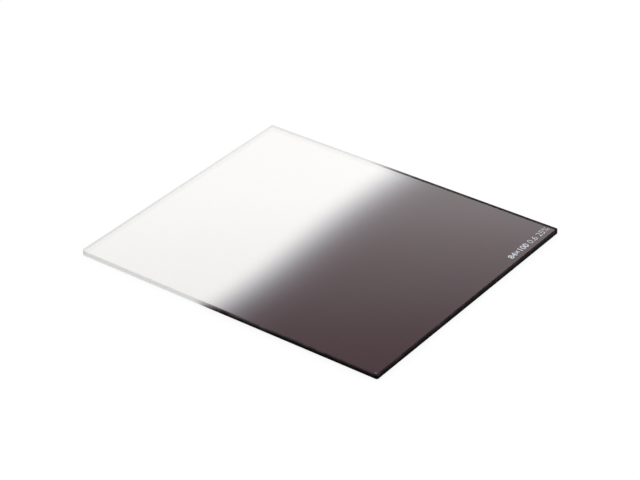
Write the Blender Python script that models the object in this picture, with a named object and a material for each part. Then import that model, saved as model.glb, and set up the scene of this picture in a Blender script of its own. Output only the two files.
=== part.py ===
"""Graduated filter plate: one flat sheet of optical resin, clear at one end and grey at the other.

The sheet lies on its back face. +X runs along its length from the clear end to the dark end, +Y runs
across its width and +Z points out of its front face. The origin is the centre of the back face. A holder
grips the plate by its two long edges.
"""

import bmesh
import bpy
from mathutils import Matrix, Vector

# The sheet
LENGTH = 0.100
WIDTH = 0.084
THICKNESS = 0.0015

# Its corners are rounded as seen from the front, most at the lead corner, which is the front one of the
# clear end. A fine round breaks every sharp edge.
CORNER_RADIUS = 0.0006
LEAD_CORNER_RADIUS = 0.0013
EDGE_ROUND = 0.00018

# Steps that make each round smooth
CORNER_STEPS = 8
EDGE_STEPS = 4

# Tint along the sheet, as (share of the length from the clear end, colour)
TINT = (
    (0.40, (0.93, 0.93, 0.92, 1.0)),
    (0.50, (0.42, 0.42, 0.43, 1.0)),
    (0.66, (0.085, 0.068, 0.072, 1.0)),
)
RESIN_ROUGHNESS = 0.03
RESIN_INDEX = 1.498

COLLECTION = "graduated_filter"
SHEET = "filter_sheet"
RESIN = "graded_resin"


def clear_scene():
    """Removes what the scene holds, so that the plate stands alone."""
    for obj in list(bpy.data.objects):
        bpy.data.objects.remove(obj, do_unlink=True)


def new_collection(name):
    """A collection in the scene for the object's pieces."""
    collection = bpy.data.collections.new(name)
    bpy.context.scene.collection.children.link(collection)
    return collection


def graded_resin():
    """Clear resin whose dye deepens along the sheet, as a ramp on the length from 0 to 1."""
    material = bpy.data.materials.new(RESIN)
    material.use_nodes = True
    nodes = material.node_tree.nodes
    links = material.node_tree.links
    resin = nodes["Principled BSDF"]
    resin.inputs["Roughness"].default_value = RESIN_ROUGHNESS
    resin.inputs["Metallic"].default_value = 0.0
    resin.inputs["IOR"].default_value = RESIN_INDEX
    resin.inputs["Transmission Weight"].default_value = 1.0

    place = nodes.new("ShaderNodeTexCoord")
    split = nodes.new("ShaderNodeSeparateXYZ")
    share = nodes.new("ShaderNodeMapRange")
    share.inputs["From Min"].default_value = -LENGTH / 2
    share.inputs["From Max"].default_value = LENGTH / 2
    ramp = nodes.new("ShaderNodeValToRGB")
    ramp.color_ramp.interpolation = "EASE"
    stops = ramp.color_ramp.elements
    while len(stops) < len(TINT):
        stops.new(1.0)
    for stop, (position, colour) in zip(stops, TINT):
        stop.position = position
        stop.color = colour

    links.new(place.outputs["Object"], split.inputs["Vector"])
    links.new(split.outputs["X"], share.inputs["Value"])
    links.new(share.outputs["Result"], ramp.inputs["Fac"])
    links.new(ramp.outputs["Color"], resin.inputs["Base Color"])
    return material


def is_upright(edge):
    """True for an edge that runs straight up the sheet's thickness."""
    start, end = (vertex.co for vertex in edge.verts)
    along = (end - start).normalized()
    return abs(along.z) > 0.99


def is_lead_corner(edge):
    """True for an upright edge at the front corner of the clear end."""
    middle = (edge.verts[0].co + edge.verts[1].co) / 2
    return is_upright(edge) and middle.x < 0 and middle.y < 0


def is_rim(edge):
    """True for an edge where a broad face meets the side wall."""
    flat = [abs(face.normal.z) > 0.5 for face in edge.link_faces]
    return len(flat) == 2 and flat[0] != flat[1]


def round_edges(bm, edges, radius, steps):
    """Rounds the given edges to a circular arc of that radius."""
    bmesh.ops.bevel(
        bm,
        geom=edges,
        offset=radius,
        offset_type="OFFSET",
        segments=steps,
        profile=0.5,
        affect="EDGES",
        clamp_overlap=True,
        material=-1,
    )


def filter_sheet(collection):
    """The whole plate: a thin block, its four corners rounded first and its rims broken after them."""
    bm = bmesh.new()
    bmesh.ops.create_cube(bm, size=1.0)
    bmesh.ops.scale(bm, vec=Vector((LENGTH, WIDTH, THICKNESS)), verts=bm.verts)
    bmesh.ops.transform(bm, matrix=Matrix.Translation((0, 0, THICKNESS / 2)), verts=bm.verts)
    plain = [edge for edge in bm.edges if is_upright(edge) and not is_lead_corner(edge)]
    round_edges(bm, plain, CORNER_RADIUS, CORNER_STEPS)
    lead = [edge for edge in bm.edges if is_lead_corner(edge)]
    round_edges(bm, lead, LEAD_CORNER_RADIUS, CORNER_STEPS)
    round_edges(bm, [edge for edge in bm.edges if is_rim(edge)], EDGE_ROUND, EDGE_STEPS)

    mesh = bpy.data.meshes.new(SHEET)
    bm.to_mesh(mesh)
    bm.free()
    mesh.shade_smooth()
    mesh.set_sharp_from_angle(angle=0.6)
    mesh.materials.append(graded_resin())
    sheet = bpy.data.objects.new(SHEET, mesh)
    collection.objects.link(sheet)
    return sheet


clear_scene()
filter_sheet(new_collection(COLLECTION))
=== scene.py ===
# %% [markdown]
# # A graduated filter plate, dressed for its portrait
#
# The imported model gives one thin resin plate. It lies on its back face, with its clear end at -X, its dark
# end at +X and its front face up. This script sets up the camera, the floor and the light. Then it builds
# the plate again with finer rounds, gives it a see-through dye that deepens along its length and edges with
# a satin finish, and prints a small mark near one corner.

# %% Load the frame
import math

import bmesh
import bpy
from mathutils import Matrix, Vector


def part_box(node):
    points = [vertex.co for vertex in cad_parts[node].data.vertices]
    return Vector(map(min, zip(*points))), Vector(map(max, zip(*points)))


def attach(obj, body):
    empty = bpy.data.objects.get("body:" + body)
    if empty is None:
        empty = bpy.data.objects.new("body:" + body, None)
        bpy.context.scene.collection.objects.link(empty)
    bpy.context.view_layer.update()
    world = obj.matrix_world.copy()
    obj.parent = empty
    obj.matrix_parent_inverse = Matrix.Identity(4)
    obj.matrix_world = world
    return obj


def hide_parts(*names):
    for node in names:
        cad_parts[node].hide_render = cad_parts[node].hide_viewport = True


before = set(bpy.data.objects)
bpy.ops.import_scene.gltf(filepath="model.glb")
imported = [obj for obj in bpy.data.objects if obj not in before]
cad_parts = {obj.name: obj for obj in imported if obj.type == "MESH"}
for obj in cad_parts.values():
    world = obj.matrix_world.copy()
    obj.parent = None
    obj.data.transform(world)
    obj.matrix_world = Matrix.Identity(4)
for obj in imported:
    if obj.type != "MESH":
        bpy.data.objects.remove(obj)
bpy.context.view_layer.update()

low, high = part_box("filter_sheet")
length, width, thickness = (high[axis] - low[axis] for axis in range(3))
print(f"plate {length * 1000:.1f} x {width * 1000:.1f} x {thickness * 1000:.2f} mm")

# %% [markdown]
# ## A helper for materials
#
# A material is a graph of nodes, and wiring it by hand hides the idea behind it. The class below wraps one
# socket, so that ordinary Python expressions such as `1 - mask` add the Math nodes. Every other node comes
# from its `make` method: the node's type, its settings, and what its sockets take.

# %% A socket that understands arithmetic
class Wire:
    """One output socket of a node tree."""

    def __init__(self, tree, socket=None):
        self.tree = tree
        self.socket = socket

    def make(self, kind, settings=None, inputs=None, output=0):
        """Adds a node and returns the wire from one of its outputs."""
        node = self.tree.nodes.new(kind)
        for name, value in (settings or {}).items():
            setattr(node, name, value)
        for name, value in (inputs or {}).items():
            if isinstance(value, Wire):
                self.tree.links.new(value.socket, node.inputs[name])
            else:
                node.inputs[name].default_value = value
        return Wire(self.tree, node.outputs[output]) if len(node.outputs) else None

    def beside(self, name):
        """The wire from another output of the same node."""
        return Wire(self.tree, self.socket.node.outputs[name])

    def maths(self, operation, first, second=0.0):
        """Adds a Math node on two wires or numbers."""
        return self.make("ShaderNodeMath", {"operation": operation}, {0: first, 1: second})

    def __add__(self, other):
        return self.maths("ADD", self, other)

    def __radd__(self, other):
        return self.maths("ADD", other, self)

    def __sub__(self, other):
        return self.maths("SUBTRACT", self, other)

    def __rsub__(self, other):
        return self.maths("SUBTRACT", other, self)

    def __mul__(self, other):
        return self.maths("MULTIPLY", self, other)

    def __rmul__(self, other):
        return self.maths("MULTIPLY", other, self)


# %% [markdown]
# ## Helpers for steps, colours and objects
#
# Almost every finish here changes smoothly from one place to another. A colour ramp would hide the two ends
# of such a change in its stops, so one function eases a number between two named places. Colours are
# multiplied by Vector Math, because a Math node would turn them grey.

# %% Ease, tint and make
def smooth_step(value, start, end, first=0.0, last=1.0, easing="SMOOTHSTEP"):
    """Eases from the first value to the last while the wire runs from start to end."""
    return value.make(
        "ShaderNodeMapRange",
        {"interpolation_type": easing},
        {"Value": value, "From Min": start, "From Max": end, "To Min": first, "To Max": last},
    )


def times(colour, other):
    """Multiplies two colours."""
    return colour.make("ShaderNodeVectorMath", {"operation": "MULTIPLY"}, {0: colour, 1: other})


def new_material(name):
    """An empty node material, with a wire to build on."""
    material = bpy.data.materials.new(name)
    material.use_nodes = True
    material.node_tree.nodes.clear()
    return material, Wire(material.node_tree)


def new_object(name, bm, *materials):
    """An object at the origin that shows a bmesh, which is freed."""
    mesh = bpy.data.meshes.new(name)
    bm.to_mesh(mesh)
    bm.free()
    for material in materials:
        mesh.materials.append(material)
    obj = bpy.data.objects.new(name, mesh)
    bpy.context.scene.collection.objects.link(obj)
    return obj


def describe(material):
    """Prints how many nodes a finished material has."""
    print(f"{material.name}: {len(material.node_tree.nodes)} nodes")


# %% [markdown]
# ## The camera
#
# A long lens looks down on the plate from the front right. The camera could be turned by trial until it
# looks right. Here its angles, place and lens are solved from the plate's own outline in the picture, whose
# opposite edges run together a little, which fixes both the distance and the lens.

# %% Aim the camera
CAMERA_AZIMUTH = 38.23
CAMERA_ELEVATION = 32.56
CAMERA_ROLL = 1.63
CAMERA_PLACE = Vector((0.33383, -0.42389, 0.34581))
LENS = 131.8


def aim(azimuth, elevation, roll):
    """A rotation that looks down from those angles in degrees, rolled about the line of sight."""
    azimuth, elevation, roll = (math.radians(angle) for angle in (azimuth, elevation, roll))
    back = Vector((
        math.sin(azimuth) * math.cos(elevation),
        -math.cos(azimuth) * math.cos(elevation),
        math.sin(elevation),
    ))
    right = Vector((0, 0, 1)).cross(back).normalized()
    up = back.cross(right)
    turned_right = math.cos(roll) * right - math.sin(roll) * up
    turned_up = math.sin(roll) * right + math.cos(roll) * up
    return Matrix((turned_right, turned_up, back)).transposed()


camera_data = bpy.data.cameras.new("camera")
camera_data.lens = LENS
camera = bpy.data.objects.new("camera", camera_data)
turn = aim(CAMERA_AZIMUTH, CAMERA_ELEVATION, CAMERA_ROLL)
camera.matrix_world = Matrix.Translation(CAMERA_PLACE) @ turn.to_4x4()
bpy.context.scene.collection.objects.link(camera)
bpy.context.scene.camera = camera
print(f"camera {CAMERA_PLACE.length * 1000:.0f} mm from the plate, {LENS} mm lens")

# %% [markdown]
# ## The floor
#
# The plate lies on plain white. A see-through thing needs the same white behind it that the picture shows
# around it, so a Light Path node lets the camera, mirrored rays and rays that come through the resin see an
# even white, while the rest of the floor's look is ordinary matt paint that takes the plate's soft shadow.

# %% Lay the floor
FLOOR_SIZE = 4.0
FLOOR_GAP = 0.0001
FLOOR_PAINT = (0.95, 0.95, 0.95, 1.0)
SHADOW_SHARE = 0.15


def white_floor():
    """Matt paint that shows as an even white, with a faint shadow."""
    material, start = new_material("white_floor")
    looked_at = start.make("ShaderNodeLightPath", output="Is Camera Ray")
    seen_white = looked_at * (1 - SHADOW_SHARE) + looked_at.beside("Is Glossy Ray")
    seen_white = seen_white + looked_at.beside("Is Transmission Ray")
    paint = start.make("ShaderNodeBsdfDiffuse", inputs={"Color": FLOOR_PAINT})
    white = start.make("ShaderNodeEmission", inputs={"Strength": 1.0})
    mixed = start.make("ShaderNodeMixShader", inputs={0: seen_white, 1: paint, 2: white})
    start.make("ShaderNodeOutputMaterial", inputs={"Surface": mixed})
    return material


bm = bmesh.new()
bmesh.ops.create_grid(bm, x_segments=1, y_segments=1, size=FLOOR_SIZE / 2)
bmesh.ops.translate(bm, vec=Vector((0, 0, low[2] - FLOOR_GAP)), verts=bm.verts)
new_object("floor", bm, white_floor())
print(f"floor {FLOOR_SIZE} m across")

# %% [markdown]
# ## The studio
#
# A polished sheet shows its surroundings more than its own surface. Here they are a plain white studio: a
# wall all round, an overhead light, and a dimmer gap between the two. A brighter panel stands behind the
# plate. The camera sees it mirrored in the plate's far side, as a soft sheen that fades towards the near
# side, where the gap is mirrored instead. The panel is brightest below its sill, and that soft step is
# mirrored close to the far edge. Walls and panels could be modelled round the plate. A world whose
# brightness follows the direction gives the same reflections, and nothing stands in the way of the other
# views. The camera itself, and rays that come through the resin, see plain white, as they do on the floor.
# Heights are written as angles above the horizon, and `by_height` turns them into sines, because that is
# what a direction's Z holds.

# %% Build the studio
WHITE = (1.0, 1.0, 1.0, 1.0)
WALL_LIGHT = 1.0
GAP_LIGHT = 0.48
OVERHEAD_LIGHT = 1.0
PANEL_LIGHT = 0.93
SILL_LIGHT = 0.25
WALL_TOP, GAP_BOTTOM = 30.4, 36.05
GAP_TOP, OVERHEAD_EDGE = 38.0, 46.0
PANEL_FOOT, PANEL_LOW = 12.0, 22.0
SILL_START, SILL_TOP = 31.4, 33.0
PANEL_EDGE, PANEL_INSIDE = 0.30, 0.55
LEFT, RIGHT = -0.65, -0.40
LEFT_SHARE, RIGHT_SHARE = 0.62, 1.28


def by_height(height, start, end, first=0.0, last=1.0):
    """Eases from the first value to the last between two angles above the horizon, in degrees."""
    start_sine, end_sine = (math.sin(math.radians(angle)) for angle in (start, end))
    return smooth_step(height, start_sine, end_sine, first, last)


world = bpy.data.worlds.new("studio")
world.use_nodes = True
world.node_tree.nodes.clear()
sky = Wire(world.node_tree)
direction = sky.make("ShaderNodeTexCoord", output="Generated")
height = sky.make("ShaderNodeSeparateXYZ", inputs={"Vector": direction}, output="Z")
panel = by_height(height, SILL_START, SILL_TOP, PANEL_LIGHT + SILL_LIGHT, PANEL_LIGHT)
panel = panel * by_height(height, PANEL_FOOT, PANEL_LOW)
panel = panel * smooth_step(height.beside("Y"), PANEL_EDGE, PANEL_INSIDE)
panel = panel * smooth_step(height.beside("X"), LEFT, RIGHT, LEFT_SHARE, RIGHT_SHARE)
below_gap = by_height(height, WALL_TOP, GAP_BOTTOM, 1.0, 0.0)
brightness = GAP_LIGHT + (panel + (WALL_LIGHT - GAP_LIGHT)) * below_gap
brightness = brightness + by_height(height, GAP_TOP, OVERHEAD_EDGE, 0.0, OVERHEAD_LIGHT - GAP_LIGHT)
looked_at = sky.make("ShaderNodeLightPath", output="Is Camera Ray")
seen_white = sky.maths("MAXIMUM", looked_at, looked_at.beside("Is Transmission Ray"))
strength = brightness * (1 - seen_white) + seen_white
backdrop = sky.make("ShaderNodeBackground", inputs={"Color": WHITE, "Strength": strength})
sky.make("ShaderNodeOutputWorld", inputs={"Surface": backdrop})
bpy.context.scene.world = world
bpy.context.scene.view_settings.view_transform = "Standard"
print(f"wall {WALL_LIGHT:.2f}, panel {WALL_LIGHT + PANEL_LIGHT:.2f}, gap {GAP_LIGHT:.2f}")

# %% [markdown]
# ## The lamp
#
# One weak lamp above the plate fills in the ground strips and the print, and gives the plate its faint
# shadow. A small lamp would do that too, but its shadow would be hard, and the plate would mirror it as a
# bright spot when it is seen from straight above. This one is large and spreads the same light thinly.

# %% Hang the lamp
LAMP_SIZE = 1.2
LAMP_PLACE = Vector((0.0, 0.0, 0.85))
LAMP_POWER = 1.2

lamp_data = bpy.data.lights.new("overhead", "AREA")
lamp_data.shape = "SQUARE"
lamp_data.size = LAMP_SIZE
lamp_data.energy = LAMP_POWER
lamp = bpy.data.objects.new("overhead", lamp_data)
lamp.location = LAMP_PLACE
bpy.context.scene.collection.objects.link(lamp)
print(f"lamp {LAMP_POWER:.1f} W, {LAMP_SIZE:.1f} m wide, {LAMP_PLACE.z:.2f} m up")

# %% [markdown]
# ## The dye
#
# The plate is lowered into dye and drawn out slowly, so the dye's depth, and not its colour, changes along
# it. What is left of the light is the dye's own colour raised to the power of that depth, which a Gamma
# node works out. A ramp of finished colours could do instead, but every shade in between would have to be
# chosen by eye. Two dyes are used: a cool grey, and a warm one that begins further in. Their depth eases in
# and out on the smoother of Blender's two curves, so that the fade has no visible start. The plate hung a
# little askew and the bath was never quite still, so the lines where a dye starts and ends lean and waver,
# and the fade is a little wider along the far edge. A faint cloudiness keeps the dark end from looking like
# flat paint. The polish is even, but for one small scuff at the dark end's front corner.

# %% Two dyes along the length
CLEAR_RESIN = (0.875, 0.863, 0.847)
GREY_DYE = (0.1005, 0.0978, 0.1136, 1.0)
WARM_DYE = (0.523, 0.2137, 0.2518, 1.0)
GREY_START, GREY_END = -0.0117, 0.0131
WARM_START, WARM_END = -0.0028, 0.0213
START_SLANT, END_SLANT = 0.0073, 0.0575
WAVE_LENGTH = 0.119
WAVE_HEIGHT = 0.00166
WAVE_START = -0.0641
CLOUD_SIZE = 0.012
CLOUD_DEPTH = 0.03
NOISE_DETAIL = 2.0
RESIN_INDEX = 1.498
POLISH = 0.012
SCUFF = 0.35
SCUFF_PLACE = (0.04925, -0.0416, 0.0015)
SCUFF_SIZE = 0.0009


def place_on_plate(start):
    """The place along the length in metres, with the other two beside it, and all three together."""
    place = start.make("ShaderNodeTexCoord", output="Object")
    return start.make("ShaderNodeSeparateXYZ", inputs={"Vector": place}, output="X"), place


def distance_from(place, point):
    """How far each place on the plate is from a point."""
    settings = {"operation": "DISTANCE"}
    return place.make("ShaderNodeVectorMath", settings, {0: place, 1: point}, output="Value")


def noise(place, size):
    """Soft spots of about that size in metres, from 0 to 1 with 0.5 as their middle."""
    inputs = {"Vector": place, "Scale": 1 / size, "Detail": NOISE_DETAIL}
    return place.make("ShaderNodeTexNoise", inputs=inputs)


def dye_line(x, middle, slant):
    """Where a dye begins or ends along the length: a line across the plate that leans and wavers."""
    across = x.beside("Y")
    wave = x.maths("SINE", (across - WAVE_START) * (2 * math.pi / WAVE_LENGTH)) * WAVE_HEIGHT
    return across * slant + middle + wave


def dye_depth(x, start, end, start_slant=START_SLANT, end_slant=END_SLANT):
    """How deep a dye is: 0 before its start line and 1 beyond its end line."""
    start_line = dye_line(x, start, start_slant)
    end_line = dye_line(x, end, end_slant)
    return smooth_step(x, start_line, end_line, easing="SMOOTHERSTEP")


def dyed_resin():
    """Clear resin with both dyes, polished like glass."""
    material, start = new_material("dyed_resin")
    x, place = place_on_plate(start)
    depth = 1 + (noise(place, CLOUD_SIZE) - 0.5) * CLOUD_DEPTH
    grey_depth = dye_depth(x, GREY_START, GREY_END) * depth
    warm_depth = dye_depth(x, WARM_START, WARM_END) * depth
    grey = start.make("ShaderNodeGamma", inputs={"Color": GREY_DYE, "Gamma": grey_depth})
    warm = start.make("ShaderNodeGamma", inputs={"Color": WARM_DYE, "Gamma": warm_depth})
    away = distance_from(place, SCUFF_PLACE)
    shader = start.make("ShaderNodeBsdfPrincipled", inputs={
        "Base Color": times(times(grey, warm), CLEAR_RESIN),
        "Roughness": smooth_step(away, 0.0, SCUFF_SIZE, SCUFF, POLISH),
        "IOR": RESIN_INDEX,
        "Transmission Weight": 1.0,
    })
    start.make("ShaderNodeOutputMaterial", inputs={"Surface": shader})
    return material


resin = dyed_resin()
describe(resin)
print(f"the fade takes about {(WARM_END - GREY_START) * 1000:.0f} mm of the length")

# %% [markdown]
# ## The cut edges
#
# The edges are sawn and ground, so they are satin and not clear, with faint marks along them. They take up
# more dye than the faces, most of it quickly and the rest slowly further in: pale grey at the clear end,
# they are almost black where the faces are still half way. Light that is caught inside the sheet leaves
# near the top of the edge, so a dyed edge is painted darker towards its foot, as shade. A clear one is
# painted paler there, as light from the white that it stands on. The same finish runs a short way onto the
# front face along three sides. The walls are painted a little darker than these strips, as shade, and the
# strips are painted darker still at the dark end and the far side, as shade. The strips and the top of the
# rim are darker towards the rounder corner, and the very tip of that corner is painted darker, as shade. A
# rough see-through resin could be used, but light would bounce about in so thin a wall and come out as
# noise, so an opaque satin with a dye of its own stands for it.

# %% Satin edges
CLEAR_STRIP = 0.0010
DARK_STRIP = 0.0004
FAR_STRIP = 0.0011
clear_end = low[0] + CLEAR_STRIP
dark_end = high[0] - DARK_STRIP
far_side = high[1] - FAR_STRIP
PALE_EDGE = (0.735, 0.735, 0.73, 1.0)
EDGE_DYE = (0.044, 0.035, 0.038, 1.0)
EDGE_DYE_START, EDGE_DYE_END = -0.0137, 0.0059
EDGE_START_SLANT, EDGE_END_SLANT = -0.0333, 0.0946
QUICK_SHARE = 0.79
SLOW_START, SLOW_END = 0.0118, 0.0248
EDGE_ROUGHNESS = 0.35
EDGE_SHINE = 0.01
# Painted shade: the walls darker than the strips on top.
WALL_PAINTED_SHADE = 1.25
# Painted light: a clear edge paler at its foot.
CLEAR_FOOT_PAINTED_LIGHT = 0.55
RIM_LEVEL, MIDDLE_LEVEL, FOOT_LEVEL = 0.94, 0.55, 0.15
# Painted shade: a dyed edge lighter at its top and darker at its foot.
DYED_TOP_PAINTED_SHADE, DYED_FOOT_PAINTED_SHADE = 0.93, 2.05
# Painted shade: the strips at the dark end and the far side darker.
STRIP_PAINTED_SHADE = 1.2
END_DEPTH = 0.0012
LEAD_CORNER_PLACE = (-0.050, -0.042, 0.0012)
CORNER_DARKENING, CORNER_DARKENING_REACH = 1.32, 0.075
# Painted shade: the far strip darker.
FAR_STRIP_PAINTED_SHADE = 1.2
# Painted shade: a darker tip at the rounder corner.
TIP_PAINTED_SHADE, TIP_REACH = 2.3, 0.0024
MARK_SIZE = 0.0022
MARK_DYE = 0.7
MARK_ROUGHNESS = 0.2
MARK_DEPTH = 0.00001
MARK_BUMP = 0.12


def cut_edge():
    """Ground resin whose own colour goes from pale grey to near black, with painted shade and light on top:
    darker towards the foot where dyed, paler there where clear.
    """
    material, start = new_material("cut_edge")
    x, place = place_on_plate(start)
    up = x.beside("Z")
    rim, middle, foot = (low[2] + level * thickness for level in (RIM_LEVEL, MIDDLE_LEVEL, FOOT_LEVEL))
    marks = noise(place, MARK_SIZE)

    away = distance_from(place, LEAD_CORNER_PLACE)
    # Darker at the top of the rim and on the strips towards the rounder corner.
    corner_darkening = smooth_step(away, 0.0, CORNER_DARKENING_REACH, CORNER_DARKENING, 1.0)
    # Painted shade: the walls darker than the strips on top, and darker still at the rounder corner's tip.
    wall = smooth_step(away, 0.0, TIP_REACH, TIP_PAINTED_SHADE, WALL_PAINTED_SHADE)
    shade = smooth_step(up, high[2], rim, corner_darkening, wall)
    # Painted light: a clear edge paler towards its foot, from the white floor below it.
    shade = shade * smooth_step(up, low[2], middle, CLEAR_FOOT_PAINTED_LIGHT, 1.0)
    # Painted shade: the far strip and the far rim a little darker.
    shade = shade * smooth_step(x.beside("Y"), far_side - END_DEPTH, far_side, 1.0, FAR_STRIP_PAINTED_SHADE)
    pale = start.make("ShaderNodeGamma", inputs={"Color": PALE_EDGE, "Gamma": shade})

    # Painted shade: a dyed edge darker towards its foot, where less of the caught light leaves it.
    dye = smooth_step(up, high[2], foot, DYED_TOP_PAINTED_SHADE, DYED_FOOT_PAINTED_SHADE)
    # Painted shade: the strips and edges along the dark end and the far side darker than their dye.
    dye = dye * smooth_step(x, dark_end - END_DEPTH, dark_end, 1.0, STRIP_PAINTED_SHADE)
    dye = dye * smooth_step(x.beside("Y"), far_side - END_DEPTH, far_side, 1.0, STRIP_PAINTED_SHADE)
    depth = dye_depth(x, EDGE_DYE_START, EDGE_DYE_END, EDGE_START_SLANT, EDGE_END_SLANT) * QUICK_SHARE
    depth = depth + smooth_step(x, SLOW_START, SLOW_END, 0.0, 1 - QUICK_SHARE)
    dye = dye * depth * (1 + (marks - 0.5) * MARK_DYE)
    dark = start.make("ShaderNodeGamma", inputs={"Color": EDGE_DYE, "Gamma": dye})

    relief = {"Height": marks, "Distance": MARK_DEPTH, "Strength": MARK_BUMP}
    bump = start.make("ShaderNodeBump", inputs=relief)
    shader = start.make("ShaderNodeBsdfPrincipled", inputs={
        "Base Color": times(pale, dark),
        "Roughness": EDGE_ROUGHNESS + (marks - 0.5) * MARK_ROUGHNESS,
        "IOR": RESIN_INDEX,
        "Specular IOR Level": EDGE_SHINE,
        "Normal": bump,
    })
    start.make("ShaderNodeOutputMaterial", inputs={"Surface": shader})
    return material


satin = cut_edge()
describe(satin)

# %% [markdown]
# ## The plate's shape
#
# The real plate is cut from a cast sheet, its corners eased, one more than the others, and its rims lightly
# broken. An outline could be drawn and extruded, but its corners would need points of their own. A cube
# scaled to the plate's size takes three bevels instead: the rounder corner and the plain ones, both from the
# four upright edges, then the rims of both faces.

# %% Shape the plate
CORNER_RADIUS = 0.0006
LEAD_CORNER_RADIUS = 0.0013
EDGE_ROUND = 0.00018
CORNER_STEPS = 12
EDGE_STEPS = 5
FLAT = 0.999


def is_broad(face):
    """True for the two large flat faces."""
    return abs(face.normal.z) > FLAT


def round_off(bm, edges, radius, steps):
    """Rounds some edges to an arc."""
    bmesh.ops.bevel(
        bm,
        geom=edges,
        offset=radius,
        segments=steps,
        profile=0.5,
        affect="EDGES",
        material=-1,
    )


bm = bmesh.new()
bmesh.ops.create_cube(bm, size=1.0)
bmesh.ops.scale(bm, vec=Vector((length, width, thickness)), verts=bm.verts)
bmesh.ops.translate(bm, vec=(Vector(low) + Vector(high)) / 2, verts=bm.verts)
upright = [edge for edge in bm.edges if abs((edge.verts[0].co - edge.verts[1].co).z) > thickness / 2]
lead = [edge for edge in upright if edge.verts[0].co.x < 0 and edge.verts[0].co.y < 0]
plain = [edge for edge in upright if edge not in lead]
round_off(bm, lead, LEAD_CORNER_RADIUS, CORNER_STEPS)
round_off(bm, plain, CORNER_RADIUS, CORNER_STEPS)
rims = [edge for edge in bm.edges if sum(is_broad(face) for face in edge.link_faces) == 1]
round_off(bm, rims, EDGE_ROUND, EDGE_STEPS)
print(f"{len(lead)} rounder corner, {len(plain)} plain ones, {len(rims)} rim edges rounded")

# %% [markdown]
# ## The ground strips
#
# Just inside three rims of the front face runs a thin line of the edges' own finish. It could be a mask in
# the resin's material, but a border between two materials stays sharp from near and far. One cut across
# the front face marks off each strip, which then takes the satin finish. The broad faces stay flat shaded,
# because an averaged normal would bend what they mirror.

# %% Mark off the strips
FACES, EDGES = 0, 1

cuts = (((clear_end, 0, 0), (1, 0, 0)), ((dark_end, 0, 0), (1, 0, 0)), ((0, far_side, 0), (0, 1, 0)))
for point, direction in cuts:
    front = [face for face in bm.faces if is_broad(face) and face.normal.z > 0]
    parts = (*bm.edges, *bm.verts)
    around = [part for part in parts if any(face in front for face in part.link_faces)]
    bmesh.ops.bisect_plane(bm, geom=front + around, plane_co=point, plane_no=direction)
for face in bm.faces:
    middle = face.calc_center_median()
    in_strip = middle.x < clear_end or middle.x > dark_end or middle.y > far_side
    ground = face.normal.z > 0 and in_strip
    face.smooth = not is_broad(face)
    face.material_index = EDGES if ground or not is_broad(face) else FACES

plate = new_object("filter_plate", bm, resin, satin)
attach(plate, "root")
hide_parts("filter_sheet")
print(f"plate mesh: {len(plate.data.polygons)} faces")

# %% [markdown]
# ## The ink
#
# Such plates carry a small white print near one corner. One plain white would do from afar, but screen
# print never covers quite evenly. A fine grain therefore goes between a full coat and a thin one, which is
# darker because the plate shows through it.

# %% White ink
INK_THIN = (0.36, 0.37, 0.40, 1.0)
INK_FULL = (0.58, 0.60, 0.66, 1.0)
INK_GRAIN = 0.0004
THIN_BELOW, FULL_ABOVE = 0.35, 0.6
INK_ROUGHNESS = 0.5


def white_ink():
    """Slightly uneven white print."""
    material, start = new_material("white_ink")
    place = start.make("ShaderNodeTexCoord", output="Object")
    cover = smooth_step(noise(place, INK_GRAIN), THIN_BELOW, FULL_ABOVE)
    # Sockets 6 and 7, and output 2, are the ones that a Mix node uses for colours.
    coats = {0: cover, 6: INK_THIN, 7: INK_FULL}
    colour = start.make("ShaderNodeMix", {"data_type": "RGBA"}, coats, output=2)
    paint = {"Base Color": colour, "Roughness": INK_ROUGHNESS}
    shader = start.make("ShaderNodeBsdfPrincipled", inputs=paint)
    start.make("ShaderNodeOutputMaterial", inputs={"Surface": shader})
    return material


ink = white_ink()
describe(ink)

# %% [markdown]
# ## The figures
#
# Bold figures give the plate's size in millimetres, and fine ones its density and the share of the light
# that it lets through. They could be painted on by a pattern in the resin, but a film of ink lies on the
# face and has edges of its own. Each line starts as a text curve, because a typeface already holds the
# outlines. It is given a height and made a mesh, then stretched to the length, the height and the thickness
# that it has on the plate, about a hundredth of a millimetre.

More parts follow.
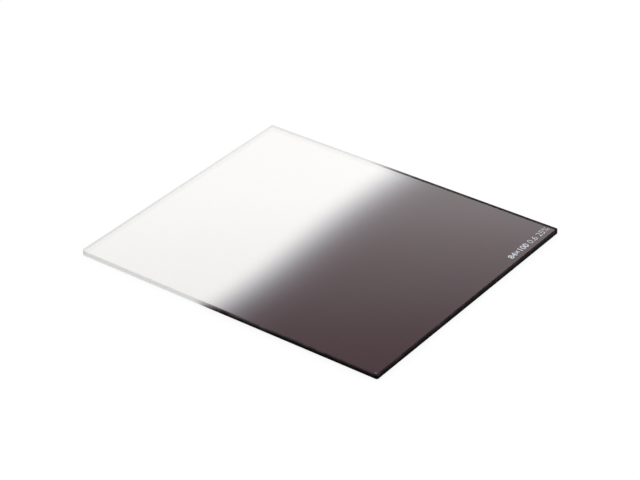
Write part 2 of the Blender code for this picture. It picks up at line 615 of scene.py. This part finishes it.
# %% Print the figures
INK_HEIGHT = 0.000012
INK_GAP = 0.000003
PRINT_HEIGHT = 0.0019
PRINT_TOP = 0.0464
SIZE_START, SIZE_END = 0.0220, 0.0304
DEPTH_START, DEPTH_END = 0.0314, 0.0405
BOLD = 0.022
LIGHT = -0.008
RAISED = 0.5
MERGE = 0.00001


def printed_figures(name, figures, start, end, weight):
    """One line of print that runs across the plate from start to end."""
    curve = bpy.data.curves.new(name, "FONT")
    curve.body = figures
    curve.offset = weight
    curve.extrude = RAISED
    text = bpy.data.objects.new(name, curve)
    bpy.context.scene.collection.objects.link(text)
    bpy.context.view_layer.update()
    flat = bpy.data.meshes.new_from_object(text.evaluated_get(bpy.context.evaluated_depsgraph_get()))
    bpy.data.objects.remove(text)

    bm = bmesh.new()
    bm.from_mesh(flat)
    bmesh.ops.remove_doubles(bm, verts=bm.verts, dist=MERGE)
    bmesh.ops.dissolve_degenerate(bm, dist=MERGE, edges=bm.edges)
    bmesh.ops.recalc_face_normals(bm, faces=bm.faces)
    corner = Vector([min(vert.co[axis] for vert in bm.verts) for axis in range(3)])
    size = Vector([max(vert.co[axis] for vert in bm.verts) for axis in range(3)]) - corner
    stretch = Vector(((end - start) / size.x, PRINT_HEIGHT / size.y, INK_HEIGHT / size.z))
    place = Vector((PRINT_TOP + PRINT_HEIGHT, start, high[2] + INK_GAP + INK_HEIGHT / 2))
    bmesh.ops.translate(bm, vec=Vector((-corner.x, -corner.y, 0)), verts=bm.verts)
    bmesh.ops.scale(bm, vec=stretch, verts=bm.verts)
    bmesh.ops.rotate(bm, matrix=Matrix.Rotation(math.radians(90), 3, "Z"), verts=bm.verts)
    bmesh.ops.translate(bm, vec=place, verts=bm.verts)
    line = new_object(name, bm, ink)
    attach(line, "root")
    print(f"{name}: figures {stretch.x / stretch.y:.2f} times as wide as the typeface")


printed_figures("size_figures", "84×100", SIZE_START, SIZE_END, BOLD)
printed_figures("depth_figures", "0.6 25%", DEPTH_START, DEPTH_END, LIGHT)
